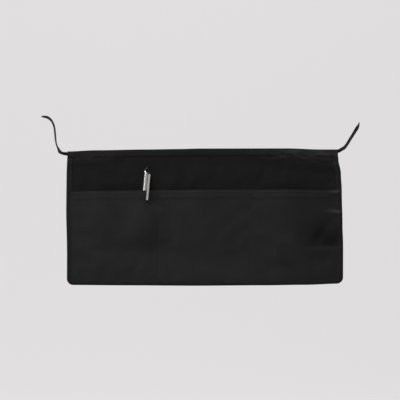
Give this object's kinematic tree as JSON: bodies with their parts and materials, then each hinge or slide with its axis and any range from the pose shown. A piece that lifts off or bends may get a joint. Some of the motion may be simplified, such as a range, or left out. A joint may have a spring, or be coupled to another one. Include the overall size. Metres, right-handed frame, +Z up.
{
  "type": "waist apron",
  "caption": "Short black waist apron with a divided full-width patch pocket, folded waistband, two ties and a retractable ball pen clipped in the pocket.",
  "frame": {"origin": "centre of the waistband's back face, the face that rests on the wearer", "axes": "+Z up as worn, +Y towards the wearer so the pockets face -Y, +X along the waistband"},
  "size_m": [0.6464, 0.0171, 0.3439],
  "materials": {
    "panel_cloth": "black twill, matt, slightly darker than the pocket cloth",
    "pocket_cloth": "black twill, matt, nap catches a little more light",
    "tape": "folded black woven tape",
    "thread": "black polyester sewing thread, slight sheen",
    "pen_steel": "satin plated, warm grey",
    "spring_steel": "bright spring wire",
    "pen_black": "glossy black moulding",
    "pen_inner_plastic": "natural moulding",
    "refill_plastic": "clear tube showing ink",
    "brass_tip": "turned",
    "ball_steel": "polished"
  },
  "bodies": {
    "waistband": {"waistband": "tape", "panel_top_edge": "panel_cloth", "waistband_stitching": "thread"},
    "skirt": {"main_panel": "panel_cloth", "pocket_panel": "pocket_cloth", "edge_binding": "tape", "binding_stitching": "thread", "pocket_hem_stitching": "thread", "divider_stitching": "thread"},
    "tie_left": {"tie_left": "tape", "tie_left_stitching": "thread"},
    "tie_right": {"tie_right": "tape", "tie_right_stitching": "thread"},
    "pen": {"pen_barrel_upper": "pen_steel", "pen_trim_ring": "pen_steel", "pen_barrel_lower": "pen_steel", "pen_nose_cone": "pen_steel", "pen_top_cap": "pen_black", "pen_cam_guide": "pen_inner_plastic", "pen_spring": "spring_steel"},
    "clip": {"pen_clip": "pen_steel"},
    "button": {"pen_button": "pen_black"},
    "refill": {"pen_refill_tube": "refill_plastic", "pen_refill_tip": "brass_tip", "pen_ball": "ball_steel"},
    "rotor": {"pen_rotor": "pen_inner_plastic"}
  },
  "joints": [
    {"name": "skirt_bend", "type": "hinge", "parent": "waistband", "child": "skirt", "pos_m": [0, -0.0011, -0.007], "axis": [-1, 0, 0], "range_deg": [-10, 90], "stiffness_Nm_per_rad": 0.4},
    {"name": "tie_left_wrap", "type": "hinge", "parent": "waistband", "child": "tie_left", "pos_m": [-0.281, -0.0011, 0], "axis": [0, 0, -1], "range_deg": [-30, 90], "stiffness_Nm_per_rad": 0.002},
    {"name": "tie_right_wrap", "type": "hinge", "parent": "waistband", "child": "tie_right", "pos_m": [0.281, -0.0011, 0], "axis": [0, 0, 1], "range_deg": [-30, 90], "stiffness_Nm_per_rad": 0.002},
    {"name": "pen_lift", "type": "slide", "parent": "skirt", "child": "pen", "axis": [0.0872, 0, 0.9962], "range_m": [0, 0.022]},
    {"name": "clip_flex", "type": "hinge", "parent": "pen", "child": "clip", "pos_m": [-0.11342, -0.01413, -0.04816], "axis": [-0.816, -0.5736, 0.0714], "range_deg": [0, 6], "stiffness_Nm_per_rad": 0.5},
    {"name": "button_press", "type": "slide", "parent": "pen", "child": "button", "axis": [0.0872, 0, 0.9962], "range_m": [-0.004, 0], "stiffness_N_per_m": 150, "springref_m": 0.003},
    {"name": "refill_feed", "type": "slide", "parent": "pen", "child": "refill", "axis": [0.0872, 0, 0.9962], "range_m": [-0.0042, 0.0001], "deforming": ["pen_spring"]},
    {"name": "rotor_turn", "type": "hinge", "parent": "refill", "child": "rotor", "pos_m": [-0.12, -0.0084, -0.0773], "axis": [0.0872, 0, 0.9962], "range_deg": [-1, 46]}
  ],
  "couplings": [
    {"joint": "refill_feed", "follows": "button_press", "ratio": 1},
    {"joint": "rotor_turn", "follows": "button_press", "rad_per_m": -196.35}
  ]
}
